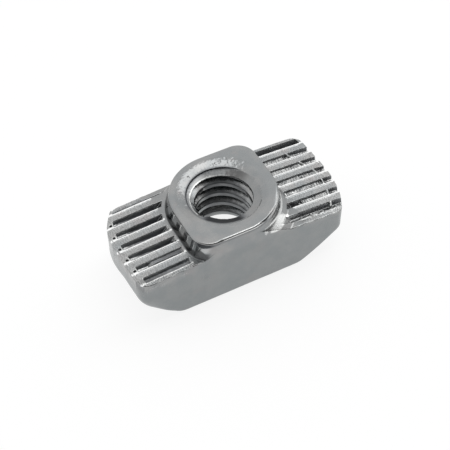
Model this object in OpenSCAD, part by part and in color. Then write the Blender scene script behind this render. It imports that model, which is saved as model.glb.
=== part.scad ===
// Drop-in nut for a T-shaped slot: one solid with a square neck, a threaded bore
// and two serrated wings that catch under the lips of the slot.
// X runs along the wings, Z along the bore, and the underside lies on Z = 0.

/* [Overall size] */
// Length over both ends, which is also the circle that the nut turns in
nut_length = 21.2; // [19:0.1:24]
// Width across the two flat sides
nut_width = 9.8; // [9.4:0.1:10.6]
// Height from the underside to the top of the neck
nut_height = 7.6; // [7:0.1:9]

/* [Head] */
// Height of the wing tops at the wall of the neck
wing_height = 5.8; // [5.2:0.1:6.2]
// Fall of the wing tops towards the ends, in degrees
wing_fall = 3.4; // [0.5:0.1:6]
// Distance from the bore axis to the start of the bevel under each end
bevel_start = 7; // [6:0.1:8]
// Height of the end faces' lower edge above the underside
bevel_height = 2.65; // [1.8:0.05:3.4]
// Radius of the blend between the underside and the bevel
bevel_blend = 1.9; // [0.5:0.1:3]
// Radius of the edge between the bevel and the end face
end_edge_radius = 0.8; // [0.2:0.1:1.5]
// Small bevel along the upper edge of the end faces
top_edge_bevel = 0.2; // [0.1:0.05:0.4]
// Lean of the straight half of each end, in degrees
end_lean = 2.3; // [0.5:0.1:4]
// Corner radius between a side and the straight half of an end
straight_corner_radius = 1.2; // [0.3:0.1:1.5]
// Corner radius between a side and the round half of an end
round_corner_radius = 1; // [0.4:0.1:1.6]
// Radius of the lower edge of each side
side_edge_radius = 0.4; // [0.1:0.05:0.8]
// Radius of the outer edge of the wing rims
rim_edge_radius = 0.1; // [0.05:0.05:0.3]
// Depth of the step along the flat side of each round half, outside the outermost groove
rim_step = 0.45; // [0.1:0.05:0.5]

/* [Neck] */
// Corner radius of the two squared corners
neck_corner_radius = 1.8; // [1:0.1:2.4]
// Radius of the edge round the top
neck_edge_radius = 0.35; // [0.1:0.05:0.6]
// Width of the hollow flare at the foot of the wall
flare_width = 0.45; // [0.25:0.05:0.5]
// Height of that flare above the wings
flare_height = 0.75; // [0.5:0.05:0.8]
// Radius of the cone that thickens the flare under the round corner at the front, on the wing top
cone_radius = 5.3; // [5.2:0.05:5.5]
// Distance that this cone is set off the bore axis, to the front and to +X
cone_offset = 0.28; // [0.2:0.02:0.36]
// Slope of this cone, in degrees
cone_slope = 37; // [34:1:45]
// Diameter at which the top starts to dip towards the bore
dish_diameter = 8.6; // [8:0.1:8.8]
// Depth of the dip
dish_depth = 0.35; // [0.1:0.05:0.6]
// Outer diameter of the sunk ring round the mouth of the bore
mouth_diameter = 6.7; // [6.4:0.1:7.4]
// Step from the dip down to this ring
mouth_step = 0.07; // [0.03:0.01:0.15]
// Slope of the ring towards the bore, in degrees
mouth_slope = 20; // [5:1:30]

/* [Bore] */
// Bore diameter, measured on the crests of the thread
bore_diameter = 5.2; // [4.8:0.05:5.6]
// Diameter of the countersink in the underside
countersink_diameter = 8.4; // [7:0.1:8.6]
// Depth of the countersink
countersink_depth = 1.75; // [1:0.05:2.2]

/* [Serrations] */
// Number of grooves along each wing
groove_count = 7; // [5:1:8]
// Width of a groove at the wing top
groove_width = 0.7; // [0.5:0.05:0.9]
// Width of a full groove at its floor
groove_floor = 0.35; // [0.1:0.05:0.45]
// Depth of a full groove
groove_depth = 0.57; // [0.52:0.01:0.8]
// Depth of the worn grooves in the middle of the wing at +X
worn_depth = 0.25; // [0.1:0.05:0.4]
// Strip between the wall and the run-outs of the grooves
groove_setback = 0.55; // [0.55:0.05:1.2]
// Distance from the end to the web that crosses the grooves of the wing at -X
web_setback = 0.6; // [0.5:0.05:1]
// Distance from the end to the web that crosses the grooves of the wing at +X, which follows a circle
round_web_setback = 0.9; // [0.5:0.05:1.4]
// Thickness of the webs
web_thickness = 0.17; // [0.1:0.01:0.3]
// Depth of the nicks that continue the grooves beyond the webs
nick_depth = 0.3; // [0.1:0.05:0.4]

/* [Hidden] */
$fn = 80;

steel_colour = [0.62, 0.63, 0.63];
half_length = nut_length / 2;
half_width = nut_width / 2;
wing_drop = tan(wing_fall);
// Height at which the two wing tops would meet over the bore axis
ridge_height = wing_height + half_width * wing_drop;
end_top = wing_height - (half_length - half_width) * wing_drop;
groove_pitch = nut_width / groove_count;
// Distance from the middle of the wing to the outermost groove
outer_groove = (groove_count - 1) / 2 * groove_pitch;
mouth_height = nut_height - dish_depth;
ring_height = mouth_height - mouth_step;
// Height at which the sunk ring meets the bore
bore_top = ring_height - (mouth_diameter - bore_diameter) / 2 * tan(mouth_slope);
// Depth that the upper edge of the flare is sunk into the wall
flare_sink = 0.05;
// Overshoot of a cutting or bounding shape past the surface that it works on
over = 1;

function unit(v) = v / norm(v);

// What a rounding of the given radius takes off a convex corner of an outline
module corner_waste(before, corner, after, radius) {
    a = unit(before - corner);
    b = unit(after - corner);
    half_angle = acos(a * b) / 2;
    centre = corner + unit(a + b) * radius / sin(half_angle);
    reach = radius / tan(half_angle);
    past_outline = (radius + over) / radius;
    difference() {
        polygon([
            centre,
            centre + past_outline * (corner + reach * a - centre),
            centre + past_outline * (corner - centre),
            centre + past_outline * (corner + reach * b - centre)
        ]);
        translate(centre) circle(r = radius);
    }
}

// Outline with a rounding at each corner that has a radius above zero
module rounded_polygon(points, radii) {
    count = len(points);
    difference() {
        polygon(points);
        for (i = [0 : count - 1]) {
            if (radii[i] > 0) {
                corner_waste(points[(i + count - 1) % count], points[i], points[(i + 1) % count], radii[i]);
            }
        }
    }
}

// Lays an outline of (distance from the axis, height) along Y, from y = 0 on
module along_y(length) {
    translate([0, length, 0]) rotate([90, 0, 0]) linear_extrude(length) children();
}

// Lays an outline of (y, height) along X, from x = 0 on
module along_x(length) {
    rotate([90, 0, 90]) linear_extrude(length) children();
}

// Section of one end: underside, blended bevel, end face and its bevelled upper edge
module end_section() {
    bevel_top = end_top - top_edge_bevel;
    rise = ridge_height - bevel_top + over;
    rounded_polygon(
        [
            [0, 0],
            [bevel_start, 0],
            [half_length, bevel_height],
            [half_length, bevel_top],
            [half_length - rise, bevel_top + rise],
            [0, bevel_top + rise]
        ],
        [0, bevel_blend, end_edge_radius, top_edge_bevel, 0, 0]
    );
}

// Plan of the head: round halves, straight halves and the flat sides, with soft corners
module head_plan() {
    difference() {
        intersection() {
            union() {
                circle(r = half_length + over);
                for (turn = [0, 180]) rotate(turn) square(half_length + over);
            }
            square([nut_length + 2 * over, nut_width], center = true);
        }
        for (turn = [0, 180]) {
            rotate(turn) straight_corner_waste();
            rotate(turn) round_corner_waste();
        }
    }
}

// Corner between the side at +Y and the leaning end face
module straight_corner_waste() {
    corner = [(half_length - half_width * sin(end_lean)) / cos(end_lean), half_width];
    corner_waste([0, half_width], corner, corner + [sin(end_lean), -cos(end_lean)], straight_corner_radius);
}

// Corner between the side at -Y and the round end, with the rounding tangent to both
module round_corner_waste() {
    inner = half_length - round_corner_radius;
    depth = half_width - round_corner_radius;
    centre = [sqrt(inner * inner - depth * depth), -depth];
    sideward = [0, -1];
    outward = unit(centre);
    reach = round_corner_radius + over;
    difference() {
        polygon([
            centre,
            centre + reach * sideward,
            centre + reach * (sideward + outward),
            centre + reach * outward
        ]);
        translate(centre) circle(r = round_corner_radius);
    }
}

// End of the head at +X without grooves: the round half, turned about the bore axis,
// beside the straight half
module head_blank() {
    depth = nut_height + 3 * over;
    intersection() {
        rotate(end_lean) {
            intersection() {
                rotate_extrude() end_section();
                translate([-over, -nut_length, -over]) cube([nut_length + over, nut_length, depth]);
            }
            along_y(half_length) end_section();
        }
        linear_extrude(nut_height) head_plan();
        translate([-nut_length, 0, 0]) along_x(2 * nut_length) side_section();
    }
}

// Section across the nut with softened lower edges
module side_section() {
    rounded_polygon(
        [
            [-half_width, 0],
            [half_width, 0],
            [half_width, nut_height],
            [-half_width, nut_height]
        ],
        [side_edge_radius, side_edge_radius, 0, 0]
    );
}

// Places its children on the sloping top of the wing at +X, with that top at z = 0
module on_wing() {
    translate([0, 0, ridge_height]) rotate([0, wing_fall, 0]) children();
}

// Everything under the top of the wing at +X, with the stepped rim of its round half and softened edges
module under_wing_top() {
    on_wing() {
        along_x(nut_length) {
            rounded_polygon(
                [
                    [-half_width, -nut_height - over],
                    [half_width, -nut_height - over],
                    [half_width, 0],
                    [-outer_groove, 0],
                    [-outer_groove, -rim_step],
                    [-half_width, -rim_step]
                ],
                [0, 0, rim_edge_radius, 0, 0, rim_edge_radius]
            );
        }
    }
}

// Grooves of the wing at +X, parallel to its top and to the nut's sides, with a depth for each
module groove_comb(depths) {
    taper = (groove_width - groove_floor) / 2 / groove_depth;
    mouth = groove_width + 2 * over * taper;
    on_wing() {
        along_x(nut_length) {
            for (i = [0 : groove_count - 1]) {
                floor_width = groove_width - 2 * depths[i] * taper;
                translate([i * groove_pitch - outer_groove, 0]) {
                    polygon([
                        [-floor_width / 2, -depths[i]],
                        [floor_width / 2, -depths[i]],
                        [mouth / 2, over],
                        [-mouth / 2, over]
                    ]);
                }
            }
        }
    }
}

// Two full grooves at the front and one at the rear, with worn ones between them
function worn_depths() = [
    for (i = [0 : groove_count - 1]) i > 1 && i < groove_count - 1 ? worn_depth : groove_depth
];

// One depth for all grooves
function even_depths(depth) = [for (i = [0 : groove_count - 1]) depth];

// Section of the body that the grooves run out against, up to the given distance from its axis
module run_out_section(reach) {
    polygon([
        [0, over],
        [reach, over],
        [reach, 0],
        [reach + groove_depth + over, -groove_depth - over],
        [0, -groove_depth - over]
    ]);
}

// Slanted run-outs of the grooves of the wing at +X, all round the foot of the neck
module run_outs() {
    reach = half_width + groove_setback;
    straight = half_width - neck_corner_radius;
    on_wing() {
        rotate_extrude() run_out_section(reach);
        along_y(straight) run_out_section(reach);
        translate([straight, straight, 0]) rotate_extrude() run_out_section(reach - straight);
    }
}

// Plan of the wing at +X up to its web: along a circle on the worn wing, else along the end
module web_plan(worn, inset) {
    if (worn) {
        circle(r = half_length - round_web_setback - inset);
    } else {
        circle(r = half_length - web_setback - inset);
        rotate(end_lean) square(half_length - web_setback - inset);
    }
}

// Grooves between the run-outs and the web, and the nicks beyond the web
module grooves(worn) {
    difference() {
        intersection() {
            groove_comb(worn ? worn_depths() : even_depths(groove_depth));
            linear_extrude(nut_height + over) web_plan(worn, web_thickness);
        }
        run_outs();
    }
    difference() {
        groove_comb(even_depths(nick_depth));
        linear_extrude(nut_height + over) web_plan(worn, 0);
    }
}

// Wing at +X, before the neck stands on it
module wing(worn) {
    difference() {
        intersection() {
            head_blank();
            under_wing_top();
            translate([0, -nut_width, -over]) cube([nut_length, 2 * nut_width, nut_height + 2 * over]);
        }
        grooves(worn);
    }
}

// Wall section with a rounded outer edge at the top, as (distance from the centre, height)
module neck_wall(reach) {
    rounded_polygon(
        [
            [0, bevel_height],
            [reach, bevel_height],
            [reach, nut_height],
            [0, nut_height]
        ],
        [0, 0, neck_edge_radius, 0]
    );
}

// Neck with one edge radius all the way round its top
module neck() {
    straight = half_width - neck_corner_radius;
    rotate_extrude() neck_wall(half_width);
    for (turn = [0, 180]) {
        rotate(turn) {
            along_y(straight) neck_wall(half_width);
            along_x(straight) neck_wall(half_width);
            translate([straight, straight, 0]) rotate_extrude() neck_wall(neck_corner_radius);
        }
    }
}

// Hollow flare section against a wall at the given distance, with a slanted skirt below the wing top
module flare_section(wall) {
    radius = (flare_width * flare_width + flare_height * flare_height) / (2 * flare_width);
    difference() {
        translate([wall - flare_width, 0]) square([2 * flare_width, flare_height]);
        translate([wall + radius, flare_height]) circle(r = radius);
    }
    polygon([
        [wall - flare_width, 0],
        [wall + flare_width, 0],
        [wall + flare_width + groove_depth, -groove_depth],
        [wall - flare_width, -groove_depth]
    ]);
}

// Flare between the neck and the wing at +X, within the flat sides
module foot_flare() {
    // The flare leans with the wing, so its upper edge lies in the wall all round
    lean_in = (half_width - flare_height * sin(wing_fall)) / cos(wing_fall) - flare_sink;
    straight = half_width - neck_corner_radius;
    within_sides() {
        on_wing() {
            rotate_extrude() flare_section(lean_in);
            along_y(straight) flare_section(lean_in);
            translate([straight, straight, 0]) rotate_extrude() flare_section(lean_in - straight);
        }
    }
}

// Cone that thickens the flare under the round corner between the front and +X
module front_cone() {
    run = 1 / tan(cone_slope);
    within_sides() {
        on_wing() {
            translate([cone_offset, -cone_offset, -groove_depth]) {
                cylinder(
                    r1 = cone_radius + groove_depth * run,
                    r2 = cone_radius - flare_height * run,
                    h = groove_depth + flare_height
                );
            }
        }
    }
}

// Keeps its children between the flat sides, on the half at +X
module within_sides() {
    intersection() {
        children();
        translate([0, -half_width, bevel_height]) cube([nut_length, nut_width, nut_height]);
    }
}

// Dished top, sunk ring that slopes to the bore, plain bore and countersunk underside
module bore() {
    rotate_extrude() {
        polygon([
            [0, bore_top],
            [bore_diameter / 2, bore_top],
            [mouth_diameter / 2, ring_height],
            [mouth_diameter / 2, mouth_height],
            [dish_diameter / 2, nut_height],
            [dish_diameter / 2, nut_height + over],
            [0, nut_height + over]
        ]);
    }
    translate([0, 0, -over]) cylinder(d = bore_diameter, h = nut_height + 2 * over);
    cylinder(d1 = countersink_diameter, d2 = bore_diameter, h = countersink_depth);
    translate([0, 0, -over]) cylinder(d = countersink_diameter, h = over);
}

module t_slot_nut() {
    color(steel_colour) {
        difference() {
            union() {
                wing(true);
                foot_flare();
                front_cone();
                rotate(180) {
                    wing(false);
                    foot_flare();
                }
                neck();
            }
            bore();
        }
    }
}

t_slot_nut();
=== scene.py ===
import math
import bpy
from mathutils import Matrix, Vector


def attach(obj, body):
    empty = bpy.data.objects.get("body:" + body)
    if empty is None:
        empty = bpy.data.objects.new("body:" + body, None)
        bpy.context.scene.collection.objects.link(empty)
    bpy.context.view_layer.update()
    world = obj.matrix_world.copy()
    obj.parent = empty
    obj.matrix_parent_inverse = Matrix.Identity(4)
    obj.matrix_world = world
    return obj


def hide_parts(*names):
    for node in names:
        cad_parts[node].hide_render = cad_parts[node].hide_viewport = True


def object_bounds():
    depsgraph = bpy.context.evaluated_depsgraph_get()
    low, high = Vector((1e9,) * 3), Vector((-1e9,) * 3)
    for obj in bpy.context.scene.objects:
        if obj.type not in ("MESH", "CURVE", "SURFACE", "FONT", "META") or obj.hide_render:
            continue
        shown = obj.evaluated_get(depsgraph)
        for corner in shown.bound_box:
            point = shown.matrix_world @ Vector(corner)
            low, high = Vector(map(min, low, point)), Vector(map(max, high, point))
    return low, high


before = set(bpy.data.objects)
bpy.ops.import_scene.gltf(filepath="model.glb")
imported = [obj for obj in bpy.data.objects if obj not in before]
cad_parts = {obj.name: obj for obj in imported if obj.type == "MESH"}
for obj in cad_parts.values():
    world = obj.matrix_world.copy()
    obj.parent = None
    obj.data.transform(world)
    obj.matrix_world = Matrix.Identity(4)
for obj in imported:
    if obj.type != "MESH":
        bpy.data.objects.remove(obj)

from types import SimpleNamespace

import bpy
import numpy as np
from mathutils import Matrix, Vector

# Looks of a drop-in nut for a T-shaped slot. The nut is one closed mesh, taken from a distance field
# in millimetres: negative inside the steel, positive outside. It becomes metres when the mesh is made.
# The two numbers in a call of ease are the places between which a form or a mark comes in.
MM = 0.001

cad_low, cad_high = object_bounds()
half_length = cad_high.x / MM
half_width = cad_high.y / MM
nut_height = cad_high.z / MM

# Head
wing_height = 5.8
wing_fall = math.tan(math.radians(3.4))
ridge_height = wing_height + half_width * wing_fall
bevel_start = 7.0
bevel_height = 2.65
end_lean = math.radians(2.3)
underside_blend = 0.4
rim_blend = 0.08
rim_drop = 0.45
rim_start = 4.42
under_rim_depth = 0.04
side_blend = 0.012

# Rounding of the head's end edge and corners, and what is added higher up and in the straight halves
end_blend = 0.3
straight_end_blend = 0.5
corner_blend = 0.2
upright_corner_blend = 0.3
straight_corner_blend = 0.25
upright_straight_blend = 0.45
rear_left_reach = 9.97
rear_left_blend = 0.5

# Neck with its edges, its foot, and the cone that its foot becomes at the front right
neck_corner_radius = 1.8
neck_edge_blend = 0.35
front_edge_blend = 0.2
right_edge_growth = 0.2
crown_drop = 0.035
foot_width = 0.36
foot_slope = 0.42
foot_fillet = 0.16
cone_width = 0.44
cone_slope = 1.0
cone_fillet = 0.14

# Hollow under the neck's front edge, and what it gains at the front left corner
hollow_below = 0.3
hollow_height = 0.08
hollow_depth = 0.015
swell_below = 0.04
swell_height = 0.08
swell_depth = 0.02

# Dished top, mouth, bore and countersink
dish_radius = 4.3
dish_depth = 0.35
dish_blend = 0.12
mouth_radius = 3.35
mouth_step = 0.1
mouth_fall = math.tan(math.radians(20))
bore_radius = 2.6
bore_blend = 0.05
countersink_radius = 4.2
countersink_depth = 1.75

# Thread
pitch = 1.27
root_radius = 3.175
root_flat = pitch / 16
root_height = 6.43
root_angle = math.radians(62.2)
half_thread_angle = math.radians(30)
root_blend = 0.08
crest_blend = 0.06

# Serrations
groove_count = 7
last_row = groove_count // 2
groove_pitch = 2 * half_width / groove_count
groove_width = 0.7
groove_floor = 0.35
groove_depth = 0.57
groove_blend = 0.06
straight_setback = 0.52
round_setback = 0.62
right_setback_growth = 0.1
lip_height = 0.03
lip_width = 0.06
lip_growth = 0.13

# Webs across the grooves near the end, and the nicks outside them on the left wing
left_web_reach = 9.93
right_web_setback = 1.13
right_web_slant = 0.38
last_web_setback = 0.35
web_width = 0.17
web_blend = 0.05
nick_reach = 10.17
nick_half_length = 0.12
nick_half_width = 0.1
nick_depth = 0.25

# Depth of the grooves as shares of the full one: the worn right wing and the left one
worn_share = 0.33
worn_waves = 0.05
beyond_web_share = 0.25
left_share = 1.06
left_loss = 0.5
front_left_share = 0.5
ledge_drop = 0.16
ledge_fall = 0.5

# Unevenness of the surface, in millimetres
cast_grain = 0.006
wing_grain = 0.004
torn_grain = 0.05
torn_fine_grain = 0.03
right_torn = 0.4
left_torn = 0.3
tick_spacing = 0.26
right_ticks = 0.07
left_ticks = 0.02
dish_grain = 0.009
dish_fine_grain = 0.005
dish_pits = 0.02
bore_grain = 0.012

# Strength of the painted highlights and painted light on the bright places, from 0 to 1
cone_highlight = 0.62
strip_highlight = 0.5
streak_highlight = 0.5
round_edge_highlight = 0.45
burr_highlight = 0.7
run_out_light = 0.35
shallow_floor_light = 0.45
rim_light = 0.4

# Shade of the dark places, where more than 1 is nearly black
front_left_shade = 0.75
rear_left_shade = 0.9
crest_shade = 0.7
crease_shade = 1.0
mouth_line_shade = 1.5
front_ring_shade = 1.6
hollow_shade = 0.7
swell_shade = 1.5
most_shade = 1.6

# Change of the steel's brightness, as a share. Painted light on the neck's left wall and top, and painted
# shade on its right wall, the upright sides and the ring round the bore
left_wall_painted_light = 0.45
right_wall_painted_shade = -0.2
side_painted_shade = -0.1
ring_painted_shade = -0.1
rear_ring_painted_shade = -0.5
neck_top_painted_light = 0.1
dish_tone = -0.1
ridge_tone = 0.22
groove_tone = 0.3
dark_foot_level = 0.35

# Mesh
fine_step = 0.075
most_triangles = 190000
bend_reach = 0.15


def smooth_max(a, b, width):
    """Larger of two fields, with the crease between them rounded over the given width."""
    overlap = np.maximum(width - np.abs(a - b), 0)
    return np.maximum(a, b) + overlap * overlap / (4 * width)


def smooth_min(a, b, width):
    """Smaller of two fields, with the crease between them filled over the given width."""
    return -smooth_max(-a, -b, width)


def ease(value, low, high):
    """Goes smoothly from 0 at low to 1 at high."""
    t = np.clip((value - low) / (high - low), 0, 1)
    return t * t * (3 - 2 * t)


def bump_at(value, middle, width):
    """One at the middle, and close to nothing at twice the width from it."""
    return np.exp(-((value - middle) / width) ** 2)


def toward(x, y, aim):
    """Cosine of the angle between the aim and the direction from the bore's axis."""
    east, north = aim
    return (x * east + y * north) / np.maximum(np.hypot(x, y), 0.1)


def compass(degrees):
    """Aim at the given angle from +X."""
    return math.cos(math.radians(degrees)), math.sin(math.radians(degrees))


lattice_size = 32
lattice_shape = (lattice_size, lattice_size, lattice_size)
lattice = np.random.default_rng(7).uniform(-1, 1, lattice_shape).astype(np.float32)
lattice_offset = 1000


def noise(x, y, z, grain):
    """Smooth random values between -1 and 1 that change over the given distance."""
    places = [np.asarray(c, np.float32) / grain + lattice_offset for c in (x, y, z)]
    cells = [np.floor(p).astype(np.int64) for p in places]
    blend = [ease(p - c, 0, 1) for p, c in zip(places, cells)]
    total = 0
    for i in (0, 1):
        for j in (0, 1):
            for k in (0, 1):
                share = (blend[0] if i else 1 - blend[0]) * (blend[1] if j else 1 - blend[1])
                share = share * (blend[2] if k else 1 - blend[2])
                steps = [(cell + step) % lattice_size for cell, step in zip(cells, (i, j, k))]
                total = total + share * lattice[tuple(steps)]
    return total


def head_outline(u, v, z):
    """Head below its wing tops: underside, bevel, end and sides, for the wing at +X."""
    across = v * math.cos(end_lean) - u * math.sin(end_lean)
    along = u * math.cos(end_lean) + v * math.sin(end_lean)
    reach = np.where(across > 0, along, np.hypot(u, v))
    run = half_length - bevel_start
    bevel = ((reach - bevel_start) * bevel_height - z * run) / math.hypot(run, bevel_height)
    straight = ease(v, -1.5, 1.5)
    ends = smooth_max(bevel, reach - half_length, end_blend + straight_end_blend * straight)
    upright = ease(z, 0.8, 2.8)
    extra = straight_corner_blend + upright_straight_blend * upright
    corner = corner_blend + upright_corner_blend * upright + extra * straight
    sides = smooth_max(ends, np.abs(v) - half_width, corner)
    return smooth_max(sides, -z, underside_blend), reach


def nearest_groove(v):
    """Number of the nearest groove, counted from the middle one, and the distance from its middle."""
    row = np.clip(np.round(v / groove_pitch), -last_row, last_row)
    return row, v - groove_pitch * row


def right_web(v):
    """Reach at which a web crosses the grooves of the right wing."""
    return half_length - right_web_setback - right_web_slant * np.maximum(v, 0)


def wing_depth(u, v, row, left):
    """Depth of the serrations: even on the left wing, worn shallow in the middle of the right one."""
    along = u - half_width
    deep = 1.0 * (row == last_row) + rim_drop / groove_depth * (row == -last_row)
    deep = deep + (row == 1 - last_row) * ease(along, 2.0, 0.9)
    web_place = right_web(v)
    worn = worn_share + worn_waves * np.sin(2.1 * along + 1.7 * row)
    worn = worn + beyond_web_share * ease(np.hypot(u, v), web_place, web_place + 0.1)
    shallower = left_share - left_loss * np.clip((along - 1.0) / 3.9, 0, 1)
    even = np.where(row == last_row, front_left_share, np.where(row == -last_row, 1.0, shallower))
    return groove_depth * np.where(left, even, np.maximum(deep, worn))


def grooves(u, v, top, reach, left):
    """Removed by the serrations: tapered grooves with a web across them near the end."""
    row, off = nearest_groove(v)
    rearward = np.where(left, -off, off)
    depth = wing_depth(u, v, row, left)
    taper = (groove_width - groove_floor) / 2 / groove_depth
    narrow = np.abs(rearward - lip_growth / 2) - (groove_width - lip_growth) / 2
    wall = (narrow - taper * top) / math.hypot(1, taper)
    trough = smooth_max(wall, -top - depth, 0.08)
    ledge = smooth_min(-top - ledge_drop - ledge_fall * ease(u, 8.3, 9.3), rearward + 0.04, 0.04)
    trough = np.where(left & (row == last_row - 1), smooth_max(trough, ledge, web_blend), trough)
    straight = half_width + straight_setback - u
    rounded = half_width + np.where(left, round_setback, round_setback + right_setback_growth)
    rounded = rounded - np.hypot(u, v)
    start = (np.where(v > 0, straight, rounded) - np.minimum(top, 0)) / math.sqrt(2)
    web_place = np.where(left, left_web_reach, right_web(v))
    last_right = ~left & (row == last_row)
    web_place = np.where(last_right, half_length - last_web_setback, web_place)
    inner = smooth_max(smooth_max(trough, start, groove_blend), reach - web_place, web_blend)
    nick = smooth_max(np.abs(off) - nick_half_width, -top - nick_depth, web_blend)
    nick = smooth_max(nick, np.abs(reach - nick_reach) - nick_half_length, web_blend)
    outer = smooth_max(trough, web_place + web_width - reach, web_blend)
    outer = np.where(left, np.where(np.abs(row) < last_row, nick, 1.0), np.where(last_right, 1.0, outer))
    return np.minimum(inner, outer)


def lips(u, v, top, reach):
    """Height of the upset lips along both sides of the grooves."""
    off = np.abs(nearest_groove(v)[1])
    beside = bump_at(off - groove_width / 2, 0.05, lip_width)
    inside = ease(u, half_width + 0.3, half_width + 0.6) * ease(reach, 10.3, 10.0)
    return lip_height * beside * inside


def neck_plan(x, y):
    """Distance outside the neck's outline in plan, with two squared corners and two round ones."""
    core = half_width - neck_corner_radius
    out_x, out_y = np.abs(x) - core, np.abs(y) - core
    squared = np.hypot(np.maximum(out_x, 0), np.maximum(out_y, 0))
    squared = squared + np.minimum(np.maximum(out_x, out_y), 0)
    return np.where(x * y > 0, squared - neck_corner_radius, np.hypot(x, y) - half_width)


def corner_swell(x, y):
    """One at the neck's front left corner, where the hollow under its edge is widest."""
    return bump_at(x - y, 0, 1.2) * ease(-x, 2.0, 3.0)


def neck_shape(x, y, z, top):
    """Neck above the wings: rounded upper edge with its burr, hollow under the edge and flared foot."""
    plan = neck_plan(x, y)
    below = nut_height - z
    swell = corner_swell(x, y)
    hollow = bump_at(below - hollow_below, swell_below * swell, hollow_height + swell_height * swell)
    hollow = hollow * np.maximum(ease(-y, 4.3, 4.7), swell) * ease(x, 2.6, 1.6)
    plan = plan + (hollow_depth + swell_depth * swell) * hollow
    burr = bump_at(plan, -0.22, 0.1) * ease(-y, 2.0, 3.5) * ease(x, -3.6, -2.6)
    crown = nut_height - crown_drop * (1 - burr)
    round_right = ease(x - y, 5.6, 6.6) * ease(x, 1.5, 2.5)
    sharp_left = ease(-x, 3.0, 4.2) * ease(y, 2.6, 1.2)
    sharp = np.maximum(ease(-y, 4.0, 4.6) * ease(x, 1.5, 0.5), sharp_left)
    blend = neck_edge_blend + (front_edge_blend - neck_edge_blend) * sharp
    blend = blend + right_edge_growth * round_right
    shaft = smooth_max(plan, z - crown, blend)
    wide = ease(x - y, 2.5, 6.0) * ease(-y, -1.0, 2.0)
    width = foot_width + cone_width * wide
    slope = foot_slope + cone_slope * wide
    flare = (plan - width + slope * top) / np.sqrt(1 + slope * slope)
    foot = np.maximum(flare, top - 1.0)
    return np.maximum(smooth_min(shaft, foot, foot_fillet + cone_fillet * wide), 0.7 * wing_height - z)


def bore_shape(x, y, z):
    """Removed by the dish, and removed by the bore with its mouth, thread and countersink."""
    radius = np.hypot(x, y)
    mouth_height = nut_height - dish_depth
    dish_rise = dish_depth / (dish_radius - mouth_radius)
    dish = (mouth_height + (radius - mouth_radius) * dish_rise - z) / math.hypot(1, dish_rise)
    rear_left = ease(toward(x, y, (-0.87, 0.5)), -0.5, 0.1)
    front = ease(-y / np.maximum(radius, 0.1), 0.3, 0.8)
    step = mouth_step * (0.35 + 0.65 * rear_left)
    floor_height = mouth_height - step + (radius - mouth_radius) * mouth_fall * (1 - 0.8 * front)
    mouth = np.maximum(radius - mouth_radius, (floor_height - z) / math.hypot(1, mouth_fall))
    turn = (np.arctan2(y, x) - root_angle) / (2 * math.pi)
    along = z - root_height - pitch * turn
    along = np.abs(along - pitch * np.round(along / pitch))
    flank = (along - root_flat) * math.cos(half_thread_angle) + (radius - root_radius) * 0.5
    flank = flank + 0.8 * front * ease(z, 6.45, 6.75)
    thread = smooth_max(flank, radius - root_radius, root_blend)
    shaft = smooth_min(radius - bore_radius, thread, crest_blend)
    sink_rise = (countersink_radius - bore_radius) / countersink_depth
    sink = (radius - countersink_radius + z * sink_rise) / math.hypot(1, sink_rise)
    return dish, smooth_min(mouth, smooth_min(shaft, sink, bore_blend), bore_blend)


def nut_field(x, y, z):
    """Distance field of the whole nut."""
    left = x < 0
    side = np.where(left, -1.0, 1.0)
    u, v = side * x, side * y
    outline, reach = head_outline(u, v, z)
    outline = smooth_max(outline, 0.6 * y - 0.8 * x - rear_left_reach, rear_left_blend)
    top = (z - ridge_height + u * wing_fall) / math.hypot(1, wing_fall)
    wing = smooth_max(outline, top - lips(u, v, top, reach), rim_blend)
    rim_edge = np.where(left, rim_start, rim_start - lip_growth)
    wing = smooth_max(wing, smooth_min(top + rim_drop, -v - rim_edge, 0.05), rim_blend)
    body = smooth_min(wing, neck_shape(x, y, z, top), 0.06)
    body = smooth_max(body, -grooves(u, v, top, reach, left), groove_blend)
    left_rim = -0.17 - 0.3 * ease(u, 8.9, 9.5) * ease(u, 10.4, 9.9)
    rim_place = np.where(left, left_rim, -rim_drop - 0.15)
    under_rim = bump_at(top, rim_place, 0.08) * (y < 0) * ease(u, 4.2, 4.9) * ease(u, 10.5, 10.2)
    body = smooth_max(body, np.abs(y) - half_width + under_rim_depth * under_rim, side_blend)
    dish, hole = bore_shape(x, y, z)
    body = smooth_max(body, -dish, dish_blend)
    return smooth_max(body, -hole, bore_blend)


def worn_field(x, y, z):
    """Distance field with the unevenness of the pressed, tapped and plated surface."""
    field = nut_field(x, y, z)
    radius = np.hypot(x, y)
    top = z - ridge_height + np.abs(x) * wing_fall
    on_wing = ease(np.abs(x), 5.1, 5.5) * ease(top, -0.9, -0.5)
    torn = on_wing * ease(top, 0.0, -0.08) * np.where(x > 0, right_torn, left_torn) * ease(-y, 4.6, 4.2)
    field = field + cast_grain * noise(x, y, z, 1.1) + wing_grain * on_wing * noise(x, y, z, 0.3)
    tearing = torn_grain * noise(x, 0.5 * y, z, 0.24) + torn_fine_grain * noise(x, y, z + 9, 0.13)
    field = field + torn * tearing
    ticks = np.sin(2 * math.pi * x / tick_spacing + 2.5 * noise(x, y, z, 0.5))
    field = field + torn * np.where(x > 0, right_ticks, left_ticks) * ticks
    in_dish = dish_ring(radius, z)
    rough = in_dish * ease(y - 0.3 * x, 0.2, 2.0)
    grainy = in_dish * rear_half(x, y)
    grains = dish_grain * noise(x, y, z, 0.2) + dish_fine_grain * noise(x, y, z + 3, 0.12)
    field = field + grainy * grains
    field = field + rough * dish_pits * ease(noise(x, y, z + 5, 0.3), 0.35, 0.6)
    in_bore = ease(radius, 3.3, 3.2) * ease(z, 1.8, 2.2)
    return field + in_bore * bore_grain * noise(x, y, 0.5 * z, 0.25)


def dish_ring(radius, z):
    """One on the sloping ring of the dish."""
    return ease(radius, 3.3, 3.45) * ease(radius, 4.5, 4.2) * ease(z, 7.0, 7.2)


def rear_half(x, y):
    """One on the rear left half of the nut."""
    return ease(0.88 * y - 0.47 * x, -0.5, 1.0)


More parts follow.
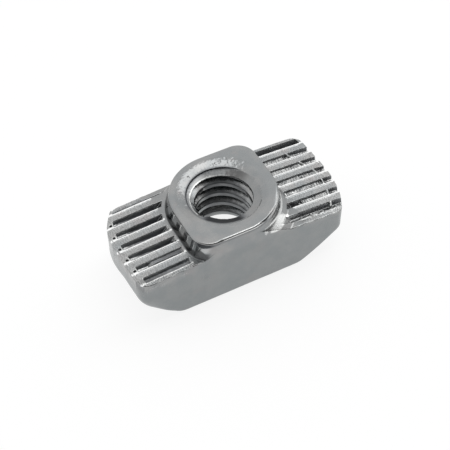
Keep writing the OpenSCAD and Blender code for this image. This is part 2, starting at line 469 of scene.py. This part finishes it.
def surface_net(field, low, step):
    """Closed mesh of quads where the field changes sign, one vertex in each cell that it crosses."""
    inside = field < 0
    corners = [(i, j, k) for i in (0, 1) for j in (0, 1) for k in (0, 1)]
    nx, ny, nz = (n - 1 for n in field.shape)
    count = sum(inside[i:i + nx, j:j + ny, k:k + nz].astype(np.uint8) for i, j, k in corners)
    active = (count > 0) & (count < len(corners))
    cells = np.argwhere(active)
    ids = np.full(active.shape, -1, np.int32)
    ids[active] = np.arange(len(cells))
    values = np.stack([field[tuple((cells + corner).T)] for corner in corners], 1)
    total = np.zeros((len(cells), 3))
    hits = np.zeros(len(cells))
    for axis in range(3):
        for start, corner in enumerate(corners):
            if corner[axis]:
                continue
            end = start + (4, 2, 1)[axis]
            crossed = (values[:, start] < 0) != (values[:, end] < 0)
            place = np.tile(np.array(corner, float), (crossed.sum(), 1))
            first = values[crossed, start]
            place[:, axis] += first / (first - values[crossed, end])
            total[crossed] += place
            hits[crossed] += 1
    points = np.array(low) + step * (cells + total / hits[:, None])
    quads = []
    for axis in range(3):
        second, third = (axis + 1) % 3, (axis + 2) % 3
        ahead = np.roll(inside, -1, axis)
        crossed = np.argwhere(inside != ahead)
        keep = crossed[:, axis] < field.shape[axis] - 1
        keep = keep & (crossed[:, second] > 0) & (crossed[:, third] > 0)
        crossed = crossed[keep]
        back, left = np.eye(3, dtype=int)[second], np.eye(3, dtype=int)[third]
        ring = [crossed, crossed - back, crossed - back - left, crossed - left]
        quad = np.stack([ids[tuple(c.T)] for c in ring], 1)
        outward = inside[tuple(crossed.T)]
        quads.append(np.where(outward[:, None], quad, quad[:, ::-1]))
    return points, np.concatenate(quads)


def slope_at(field, points, reach=0.01):
    """Gradient of the field at the points."""
    parts = []
    for axis in range(3):
        offset = np.zeros(3)
        offset[axis] = reach
        ahead, behind = points + offset, points - offset
        parts.append((field(*ahead.T) - field(*behind.T)) / (2 * reach))
    return np.stack(parts, 1)


def settle(field, points, rounds, most):
    """Moves points onto the surface, by at most the given distance in each round."""
    for _ in range(rounds):
        slope = slope_at(field, points)
        move = -(field(*points.T) / np.maximum((slope ** 2).sum(1), 0.2))[:, None] * slope
        far = np.linalg.norm(move, axis=1, keepdims=True)
        points = points + move * np.minimum(1, most / np.maximum(far, 1e-9))
    return points


def decimated(mesh, ratio):
    """Copy of a mesh with fewer faces, which goes mostly from the flat sides."""
    holder = bpy.data.objects.new("holder", mesh)
    bpy.context.scene.collection.objects.link(holder)
    modifier = holder.modifiers.new("fewer", "DECIMATE")
    modifier.ratio = ratio
    bpy.context.view_layer.update()
    graph = bpy.context.evaluated_depsgraph_get()
    result = bpy.data.meshes.new_from_object(holder.evaluated_get(graph))
    bpy.data.objects.remove(holder)
    return result


def mesh_points(mesh):
    """Vertices of a mesh as rows of millimetres."""
    flat = np.zeros(len(mesh.vertices) * 3, np.float32)
    mesh.vertices.foreach_get("co", flat)
    return flat.reshape(-1, 3).astype(float) / MM


def store(mesh, name, values):
    """Keeps one number for each vertex, for the material to read."""
    attribute = mesh.attributes.new(name, "FLOAT", "POINT")
    attribute.data.foreach_set("value", values.astype(np.float32))


def survey(points, normals):
    """Places and directions at the vertices that the marks depend on."""
    x, y, z = points.T
    at = SimpleNamespace(x=x, y=y, z=z, u=np.abs(x), v=np.sign(x) * y, left=x < 0)
    at.row, at.off = nearest_groove(at.v)
    at.rearward = np.where(at.left, -at.off, at.off)
    at.top = z - ridge_height + at.u * wing_fall
    at.below = nut_height - z
    at.reach = np.hypot(x, y)
    at.plan = neck_plan(x, y)
    at.facing_x, at.facing_y, at.facing_z = normals.T
    at.upright = ease(np.abs(at.facing_z), 0.75, 0.35)
    at.on_wing = ease(at.u, half_width + 0.3, half_width + 0.5) * ease(at.top, -0.9, -0.7)
    beside_middle = np.abs(at.off) < groove_width / 2 + 0.1
    at.in_groove = at.on_wing * ease(at.top, -0.03, -0.12) * beside_middle
    return at


def groove_marks(at):
    """Painted shade on the groove walls, and painted highlights on their edges, floors and slanted
    run-outs.
    """
    deep = ease(wing_depth(at.u, at.v, at.row, at.left) / groove_depth, 0.55, 0.85)
    stepped = at.row == -last_row
    front_left = at.left & (at.row == last_row)
    rear_left = at.left & stepped
    # painted shade on the walls of the grooves, strongest in deep ones, and on walls facing the front
    walls = deep * ease(np.abs(at.facing_x), 0.6, 0.3) * ~stepped
    shade = at.in_groove * np.maximum(walls, ease(-at.facing_y, 0.3, 0.7))
    shade = np.where(front_left, front_left_shade * at.in_groove, shade)
    rear_floor = rear_left_shade * at.in_groove * ease(np.abs(at.y), 4.6, 4.45)
    shade = np.where(rear_left, rear_floor, shade)
    # painted highlight along the groove edges, and painted light on the floors and the run-outs
    edge_off = -at.rearward - groove_width / 2 + lip_growth
    edge = at.on_wing * ease(edge_off, -0.08, -0.03) * ease(edge_off, 0.19, 0.13)
    edge = edge * ease(at.top, -0.12, -0.05)
    floor_light = np.where(deep > 0.5, rim_light * stepped * ~at.left, shallow_floor_light)
    floor_mark = at.in_groove * ease(at.facing_z, 0.6, 0.85) * floor_light
    floor_mark = floor_mark * ~front_left * ~rear_left
    ramp = at.in_groove * ease(np.abs(at.facing_x), 0.5, 0.65)
    painted_light = np.maximum(np.maximum(edge, floor_mark), run_out_light * ramp)
    return shade, painted_light, ramp


def neck_foot_marks(at):
    """Darker flare and corner at the left of the neck's foot, and painted shade along its crease."""
    left_wall = ease(-at.x, 3.6, 4.3) * ease(at.top, 0.0, 0.08)
    flare = left_wall * ease(at.plan, 0.0, 0.06) * ease(at.y, 3.4, 2.6)
    # painted shade along the crease at the neck's foot
    crease = bump_at(at.plan, 0.37, 0.05) * ease(-at.x, 4.2, 4.7)
    crease = crease * ease(at.top, 0.2, 0.1) * ease(at.y, 0.8, -0.4)
    corner = ease(0.9 * (6.6 - at.z) - at.x - 4.4, 0.0, 0.12) * ease(-at.x, 3.4, 3.6)
    corner = corner * ease(-at.y, 3.7, 4.1) * ease(at.top, -0.05, 0.05) * ease(at.z, 6.9, 6.5)
    return flare, crease, corner


def bright_marks(at):
    """Painted highlights on the right of the neck and along its front edge, by strength."""
    right_foot = ease(at.plan, 0.02, 0.08) * ease(at.top, -0.12, 0.0) * ease(at.x, 0.9, 1.6)
    cone = right_foot * ease(at.x, 1.5, 2.3) * ease(-at.y, 3.3, 3.7)
    cone = cone * ease(at.plan, 1.2, 0.9) * ease(at.x, 4.8, 4.4)
    strip = right_foot * ease(-at.y, -0.6, 0.6) * ease(at.plan, 0.4, 0.25)
    streak = at.upright * ease(at.top, 0.1, 0.3) * ease(at.x - at.y, 4.4, 5.4) * ease(at.x, 1.5, 2.5)
    streak = streak * ease(noise(at.x, at.y, 0.15 * at.z, 0.28), 0.1, 0.6)
    rounded = ease(at.x - at.y, 5.6, 6.6) * ease(at.x, 1.0, 2.0)
    rounded = rounded * ease(at.z, nut_height - 0.45, nut_height - 0.3)
    rounded = rounded * ease(at.facing_z, 0.25, 0.45) * ease(at.facing_z, 0.97, 0.9)
    burr = ease(at.below, 0.24, 0.16) * ease(-at.y, 4.5, 4.65) * ease(at.x, -3.2, -2.2)
    burr = burr * ease(at.x, 3.4, 2.4) * ease(at.facing_z, 0.98, 0.9)
    return (
        (cone_highlight, cone),
        (strip_highlight, strip),
        (streak_highlight, streak),
        (round_edge_highlight, rounded),
        (burr_highlight, burr),
    )


def dark_marks(at):
    """Painted shade on the thread's crests, on a line round the mouth, on its front and in the hollow under
    the burr, by strength.
    """
    crest = ease(toward(at.x, at.y, compass(57)), 0.6, 0.8) * ease(at.reach, 2.8, 2.7)
    crest = crest * ease(at.z, 1.8, 2.2) * ease(at.z, 7.0, 6.8)
    outer = ease(toward(at.x, at.y, compass(150)), -0.5, 0.1)
    line = outer * bump_at(at.reach, mouth_radius, 0.1) * ease(at.z, 7.0, 7.1)
    swell = corner_swell(at.x, at.y)
    hollow = ease(at.below, 0.14, 0.22) * ease(at.below, 0.46 + 0.26 * swell, 0.32 + 0.3 * swell)
    hollow = hollow * ease(at.x, 2.6, 1.6) * (hollow_shade + swell_shade * swell)
    hollow = hollow * ease(at.facing_z, 0.85, 0.6)
    hollow = hollow * np.maximum(ease(-at.y, 4.3, 4.7), swell)
    front_ring = ease(toward(at.x, at.y, compass(242)), 0.7, 0.9)
    front_ring = front_ring * ease(at.reach, 3.35, 3.2) * ease(at.z, 6.9, 7.0)
    return (crest_shade, crest), (mouth_line_shade, line), (1.0, hollow), (front_ring_shade, front_ring)


def surface_tone(at, wall, plain):
    """Brightness of the steel as a factor, with painted light and shade on the neck's walls and top, the
    sides and the ring, before the dark foot of the neck.
    """
    ring = ease(at.reach, 2.55, 2.65) * ease(at.reach, 3.35, 3.3) * ease(at.z, 6.75, 6.85)
    rear_ring = ring * ease(toward(at.x, at.y, (0.45, 0.89)), 0.6, 0.9)
    # painted light on the neck's left wall and top, painted shade on its right wall, the upright sides and
    # the ring round the bore
    tone = 1 + np.where(at.left, left_wall_painted_light, right_wall_painted_shade) * wall + side_painted_shade * plain
    tone = tone + rear_ring_painted_shade * rear_ring + ring_painted_shade * ring
    tone = tone + neck_top_painted_light * ease(at.facing_z, 0.9, 0.97) * ease(at.z, 7.3, 7.5)
    return tone + dish_tone * dish_ring(at.reach, at.z) * rear_half(at.x, at.y)


def store_marks(mesh, points, normals):
    """Marks for the material: painted shade and painted light, ridges, tone with painted light and shade,
    and polish.
    """
    at = survey(points, normals)
    shade, painted_light, ramp = groove_marks(at)
    flare, crease, corner = neck_foot_marks(at)
    # painted highlights and painted light
    for strength, mark in bright_marks(at):
        painted_light = np.maximum(painted_light, strength * mark)
    # painted shade
    for strength, mark in ((crease_shade, crease), *dark_marks(at)):
        shade = np.maximum(shade, strength * mark)
    wall = at.upright * ease(at.top, 0.05, 0.25) * ease(at.z, nut_height - 0.1, nut_height - 0.35)
    wall = wall * ease(at.reach, 3.6, 4.2) * ease(at.u, 1.5, 3.5) * ease(-at.y, 4.85, 4.6)
    plain = at.upright * (1 - at.on_wing) * ease(at.top, -0.2, -0.6)
    rim = ease(np.abs(at.top + rim_drop), 0.06, 0.02) * (np.abs(at.y) > 4.4)
    ridge = np.maximum(ease(at.top, -0.1, -0.03), rim)
    ridge = ridge * ease(at.u, half_width + 0.45, half_width + 0.8)
    tone = surface_tone(at, wall, plain)
    dark_foot = np.maximum(flare * ease(at.top, 0.7, 0.45), corner)
    tone = tone - (tone - dark_foot_level) * dark_foot
    tone = tone + ridge_tone * ridge + groove_tone * at.in_groove * noise(at.x, at.y, at.z + 3, 0.35)
    smooth = np.maximum(wall, ease(at.facing_z, 0.8, 0.95) * ease(at.z, 7.0, 7.2))
    store(mesh, "shade", np.clip(shade, 0, most_shade))
    store(mesh, "painted_light", painted_light)
    store(mesh, "tone", tone)
    store(mesh, "smooth", smooth)
    store(mesh, "ridge", ridge)
    store(mesh, "ramp", ramp)
    store(mesh, "plain", plain)


def nut_mesh():
    """Mesh of the nut: surface net of the field, thinned, moved onto the worn surface and marked."""
    step = fine_step
    margin = 3 * step
    low = (-half_length - margin, -half_width - margin, -margin)
    high = (half_length + margin, half_width + margin, nut_height + margin)
    axes = [np.arange(a, b, step, dtype=np.float32) for a, b in zip(low, high)]
    x, y, z = np.meshgrid(*axes, indexing="ij", sparse=True)
    points, quads = surface_net(nut_field(x, y, z), low, step)
    points = settle(nut_field, points, 2, step / 2)
    mesh = bpy.data.meshes.new("t_slot_nut_raw")
    mesh.from_pydata(points * MM, [], quads)
    if 2 * len(quads) > most_triangles:
        mesh = decimated(mesh, most_triangles / (2 * len(quads)))
    points = settle(worn_field, mesh_points(mesh), 2, step / 2)
    limits = np.array([half_length, half_width, nut_height])
    points = np.clip(points, [-half_length, -half_width, 0], limits)
    mesh.vertices.foreach_set("co", (points * MM).astype(np.float32).ravel())
    slope = slope_at(worn_field, points, 0.02)
    normals = slope / np.linalg.norm(slope, axis=1, keepdims=True)
    inward = nut_field(*(points - bend_reach * normals).T)
    outward = nut_field(*(points + 3 * bend_reach * normals).T)
    store(mesh, "edge", np.clip((inward + bend_reach) / bend_reach, 0, 1))
    store(mesh, "hollow", np.clip((3 * bend_reach - outward) / (3 * bend_reach), 0, 1))
    store_marks(mesh, points, normals)
    mesh.shade_smooth()
    mesh.normals_split_custom_set_from_vertices(normals.tolist())
    mesh.update()
    return mesh


def put(tree, socket, value):
    """Gives an input a value, or links it to an output."""
    if isinstance(value, bpy.types.NodeSocket):
        tree.links.new(value, socket)
    else:
        socket.default_value = value


def node(tree, kind, **sockets):
    """New node with the given values or links on its inputs, named by socket, or i0, i1 by number."""
    made = tree.nodes.new(kind)
    for name, value in sockets.items():
        by_number = name[0] == "i" and name[1:].isdigit()
        put(tree, made.inputs[int(name[1:]) if by_number else name], value)
    return made


def maths(tree, operation, *values):
    """Result of one step of arithmetic."""
    made = tree.nodes.new("ShaderNodeMath")
    made.operation = operation
    for socket, value in zip(made.inputs, values):
        put(tree, socket, value)
    return made.outputs[0]


def spread(tree, value, low, high, first=0.0, last=1.0):
    """Smooth passage from first to last while the value goes from low to high."""
    made = tree.nodes.new("ShaderNodeMapRange")
    made.interpolation_type = "SMOOTHSTEP"
    tree.links.new(value, made.inputs["Value"])
    for name, number in (("From Min", low), ("From Max", high), ("To Min", first), ("To Max", last)):
        made.inputs[name].default_value = number
    return made.outputs["Result"]


def mixed(tree, share, first, second, blend="MIX"):
    """Mix of two colours."""
    made = tree.nodes.new("ShaderNodeMix")
    made.data_type = "RGBA"
    made.blend_type = blend
    for number, value in ((0, share), (6, first), (7, second)):
        put(tree, made.inputs[number], value)
    return made.outputs[2]


def grain(tree, place, size, detail=2.0, roughness=0.5):
    """Noise whose features are about the given number of millimetres across."""
    made = node(
        tree, "ShaderNodeTexNoise", Vector=place, Scale=1 / size, Detail=detail, Roughness=roughness
    )
    return made.outputs["Fac"]


def attribute(tree, name):
    """Number that the mesh keeps for each vertex."""
    made = tree.nodes.new("ShaderNodeAttribute")
    made.attribute_name = name
    return made.outputs["Fac"]


# Colours of the plated steel
cool_steel = (0.275, 0.287, 0.292, 1)
pale_steel = (0.335, 0.335, 0.332, 1)
warm_steel = (0.33, 0.305, 0.30, 1)
fine_steel = (0.24, 0.25, 0.25, 1)
edge_steel = (0.60, 0.61, 0.60, 1)
side_steel = (0.285, 0.306, 0.31, 1)
# Painted shade: in hollows, on shaded places, and nearly black on the darkest
cavity_shade_steel = (0.19, 0.195, 0.2, 1)
shade_steel = (0.21, 0.217, 0.225, 1)
blackest_shade_steel = (0.04, 0.042, 0.045, 1)
# Painted highlights and painted light on bright places
painted_light_steel = (0.88, 0.89, 0.88, 1)

# Lines across the ridges and relief of the surface
hatch_spacing = 0.22
hatch_strength = 0.22
speckle_strength = 1.2
relief_height = 0.00003


def steel():
    """Plated steel: blotched and grained, worn at its edges, with painted shade in its hollows and dark
    places and painted light on bright ones, hatched on its ridges.
    """
    material = bpy.data.materials.new("plated_steel")
    material.use_nodes = True
    tree = material.node_tree
    shader = tree.nodes["Principled BSDF"]
    shader.inputs["Metallic"].default_value = 1.0
    where = tree.nodes.new("ShaderNodeTexCoord").outputs["Object"]
    place = node(tree, "ShaderNodeVectorMath", i0=where, i1=(1 / MM, 1 / MM, 1 / MM))
    place.operation = "MULTIPLY"
    place = place.outputs[0]
    edge, hollow, ridge, tone, smooth, ramp, shade, painted_light, plain = (
        attribute(tree, name)
        for name in ("edge", "hollow", "ridge", "tone", "smooth", "ramp", "shade", "painted_light", "plain")
    )

    # Colour
    blotch = grain(tree, place, 2.4, 3.0, 0.6)
    fine = grain(tree, place, 0.12, 3.0, 0.7)
    warm = grain(tree, place, 1.5, 2.0)
    base = mixed(tree, spread(tree, blotch, 0.35, 0.65), cool_steel, pale_steel)
    base = mixed(tree, spread(tree, warm, 0.55, 0.75, 0, 0.5), base, warm_steel)
    base = mixed(tree, spread(tree, fine, 0.3, 0.7, 0, 0.35), base, fine_steel)
    worn = spread(tree, maths(tree, "ADD", edge, maths(tree, "MULTIPLY", fine, 0.5)), 0.75, 1.15)
    base = mixed(tree, worn, base, edge_steel)
    base = mixed(tree, maths(tree, "MULTIPLY", plain, 0.5), base, side_steel)
    # painted shade in hollows and on shaded places, nearly black where the shade passes 1
    cavity_shade = maths(tree, "SUBTRACT", hollow, ramp)
    base = mixed(tree, spread(tree, cavity_shade, 0.5, 1.0, 0, 0.3), base, cavity_shade_steel)
    base = mixed(tree, shade, base, shade_steel)
    deepest_shade = maths(tree, "MAXIMUM", maths(tree, "SUBTRACT", shade, 1.0), 0.0)
    base = mixed(tree, maths(tree, "MULTIPLY", deepest_shade, 1.6), base, blackest_shade_steel)
    # painted highlights and painted light on the bright places
    painted_light_share = spread(tree, maths(tree, "ADD", painted_light, maths(tree, "MULTIPLY", fine, 0.4)), 0.5, 0.85)
    base = mixed(tree, painted_light_share, base, painted_light_steel)

    # Hatching and speckle of the ridges
    split = node(tree, "ShaderNodeSeparateXYZ", Vector=place)
    wander = maths(tree, "MULTIPLY", grain(tree, place, 0.5, 2.0), 0.9)
    phase = maths(tree, "ADD", split.outputs["X"], wander)
    phase = maths(tree, "MULTIPLY", phase, 2 * math.pi / hatch_spacing)
    hatch = maths(tree, "MULTIPLY", maths(tree, "SINE", phase), ridge)
    speckle = maths(tree, "MULTIPLY", maths(tree, "SUBTRACT", fine, 0.5), ridge)
    lines = maths(tree, "MULTIPLY", hatch, hatch_strength)
    lines = maths(tree, "ADD", lines, maths(tree, "MULTIPLY", speckle, speckle_strength))
    # tone, with its painted light and shade
    lines = maths(tree, "ADD", lines, tone)
    tone_colour = node(tree, "ShaderNodeCombineXYZ", X=lines, Y=lines, Z=lines).outputs[0]
    base = mixed(tree, 1.0, base, tone_colour, "MULTIPLY")
    tree.links.new(base, shader.inputs["Base Color"])

    # Roughness
    patch = grain(tree, place, 0.8, 3.0)
    rough = spread(tree, patch, 0.3, 0.7, 0.17, 0.27)
    rough = maths(tree, "ADD", rough, maths(tree, "MULTIPLY", ridge, 0.10))
    rough = maths(tree, "SUBTRACT", rough, maths(tree, "MULTIPLY", smooth, 0.05))
    dull = maths(tree, "MULTIPLY", maths(tree, "MINIMUM", shade, 1.0), 0.3)
    tree.links.new(maths(tree, "ADD", rough, dull), shader.inputs["Roughness"])

    # Relief
    rugged = maths(tree, "SUBTRACT", 0.35, maths(tree, "MULTIPLY", smooth, 0.22))
    relief = maths(tree, "ADD", fine, maths(tree, "MULTIPLY", grain(tree, place, 0.5, 3.0), 1.2))
    relief = maths(tree, "MULTIPLY", relief, rugged)
    relief = maths(tree, "ADD", relief, maths(tree, "MULTIPLY", hatch, 0.12))
    bump = node(tree, "ShaderNodeBump", Height=relief, Strength=0.7, Distance=relief_height)
    tree.links.new(bump.outputs["Normal"], shader.inputs["Normal"])
    return material


# Studio
floor_size = 4
floor_colour = (0.17, 0.17, 0.17, 1)
floor_glow = 0.86
dark_level = 0.12
lamp_place = (0.2, 0.05, 0.4)
lamp_size = (0.2, 0.6)
lamp_radiance = 1.35


def floor():
    """Pale floor that shows white to the camera and in the steel, and keeps the nut's shadow."""
    bpy.ops.mesh.primitive_plane_add(size=floor_size)
    plane = bpy.context.object
    plane.name = "floor"
    material = bpy.data.materials.new("floor")
    material.use_nodes = True
    tree = material.node_tree
    tree.nodes.clear()
    output = tree.nodes.new("ShaderNodeOutputMaterial")
    diffuse = node(tree, "ShaderNodeBsdfDiffuse", Color=floor_colour)
    path = tree.nodes.new("ShaderNodeLightPath")
    seen = maths(tree, "MAXIMUM", path.outputs["Is Camera Ray"], path.outputs["Is Glossy Ray"])
    seen = maths(tree, "MAXIMUM", seen, path.outputs["Is Transmission Ray"])
    glow = node(tree, "ShaderNodeEmission", Strength=maths(tree, "MULTIPLY", seen, floor_glow))
    both = tree.nodes.new("ShaderNodeAddShader")
    tree.links.new(diffuse.outputs[0], both.inputs[0])
    tree.links.new(glow.outputs[0], both.inputs[1])
    tree.links.new(both.outputs[0], output.inputs["Surface"])
    plane.data.materials.append(material)


def camera():
    """Camera at the photograph's place, worked out from the nut's outline in it."""
    azimuth, elevation, roll = (math.radians(a) for a in (-27.8, 48.5, -0.33))
    distance = 0.103
    image_width = 450
    focal_pixels = 1143
    centre_right, centre_up = 1.0, -5.2
    aim_height = 0.4 * 2 * half_width * MM
    back = Vector((
        math.sin(azimuth) * math.cos(elevation),
        -math.cos(azimuth) * math.cos(elevation),
        math.sin(elevation),
    ))
    level_right = Vector((math.cos(azimuth), math.sin(azimuth), 0))
    level_up = back.cross(level_right)
    right = math.cos(roll) * level_right + math.sin(roll) * level_up
    up = math.cos(roll) * level_up - math.sin(roll) * level_right
    gaze = -back + centre_right / focal_pixels * right + centre_up / focal_pixels * up
    gaze = gaze.normalized()
    right = gaze.cross(up).normalized()
    up = right.cross(gaze)
    data = bpy.data.cameras.new("camera")
    data.sensor_width = 36
    data.lens = focal_pixels / image_width * data.sensor_width
    data.clip_start = 0.005
    data.clip_end = 10
    view = bpy.data.objects.new("camera", data)
    bpy.context.scene.collection.objects.link(view)
    turn = Matrix((right, up, -gaze)).transposed().to_4x4()
    view.matrix_world = Matrix.Translation(Vector((0, 0, aim_height)) + distance * back) @ turn
    bpy.context.scene.camera = view


def softbox(name, place, size, radiance):
    """Rectangular lamp that faces the nut."""
    data = bpy.data.lights.new(name, "AREA")
    data.shape = "RECTANGLE"
    data.size, data.size_y = size
    data.energy = radiance * math.pi * size[0] * size[1]
    lamp = bpy.data.objects.new(name, data)
    bpy.context.scene.collection.objects.link(lamp)
    lamp.location = place
    lamp.rotation_mode = "QUATERNION"
    lamp.rotation_quaternion = Vector(place).to_track_quat("Z", "Y")
    lamp.visible_camera = False


def studio():
    """World of a light tent: even and pale, and darker at the front from the horizon upwards."""
    world = bpy.data.worlds.new("studio")
    bpy.context.scene.world = world
    world.use_nodes = True
    tree = world.node_tree
    direction = tree.nodes.new("ShaderNodeTexCoord").outputs["Generated"]
    split = node(tree, "ShaderNodeSeparateXYZ", Vector=direction)
    front = spread(tree, split.outputs["Y"], -0.05, -0.35)
    above = spread(tree, split.outputs["Z"], -0.05, 0.1)
    share = maths(tree, "MULTIPLY", front, above)
    level = spread(tree, share, 0, 1, 1.0, dark_level)
    tree.links.new(level, tree.nodes["Background"].inputs["Strength"])
    tree.nodes["Background"].inputs["Color"].default_value = (1, 1, 1, 1)


# Nut, studio and camera
nut = bpy.data.objects.new("nut", nut_mesh())
bpy.context.scene.collection.objects.link(nut)
nut.data.materials.append(steel())
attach(nut, "root")
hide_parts("t_slot_nut")

floor()
camera()
softbox("overhead", lamp_place, lamp_size, lamp_radiance)
studio()
bpy.context.scene.view_settings.view_transform = "Standard"
